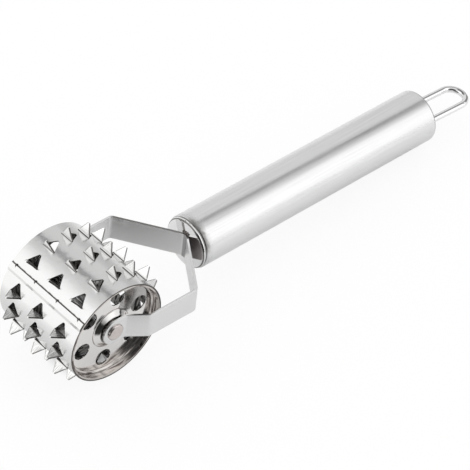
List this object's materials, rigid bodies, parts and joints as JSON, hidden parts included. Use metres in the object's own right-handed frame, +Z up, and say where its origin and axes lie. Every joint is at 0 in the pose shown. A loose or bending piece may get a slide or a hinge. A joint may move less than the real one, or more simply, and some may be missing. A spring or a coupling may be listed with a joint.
{
  "type": "rolling meat tenderizer",
  "caption": "All-steel hand roller: a drum of punched triangular teeth turns on an axle in a strip fork, on a round tubular handle with a wire hanging loop.",
  "frame": {"origin": "middle of the tool's length and width, on the table that it lies on", "axes": "+X along the handle away from the drum, +Y along the axle, +Z up"},
  "size_m": [0.2482, 0.055, 0.0569],
  "materials": {
    "drum_steel": "bright rolled sheet",
    "cap_steel": "bright pressed sheet",
    "rivet_steel": "peened",
    "strip_steel": "satin",
    "handle_steel": "satin, brushed along",
    "polished_steel": "polished"
  },
  "bodies": {
    "handle": {"fork": "strip_steel", "axle": "rivet_steel", "washer_near": "polished_steel", "washer_far": "polished_steel", "handle_tube": "handle_steel", "front_cap": "polished_steel", "rear_cap": "handle_steel", "hanging_loop": "polished_steel"},
    "roller": {"drum_shell": "drum_steel", "end_cap_near": "cap_steel", "end_cap_far": "cap_steel"}
  },
  "joints": [
    {"name": "roller_spin", "type": "hinge", "parent": "handle", "child": "roller", "pos_m": [-0.09541, 0, 0.02861], "axis": [0, 1, 0], "continuous": true}
  ]
}
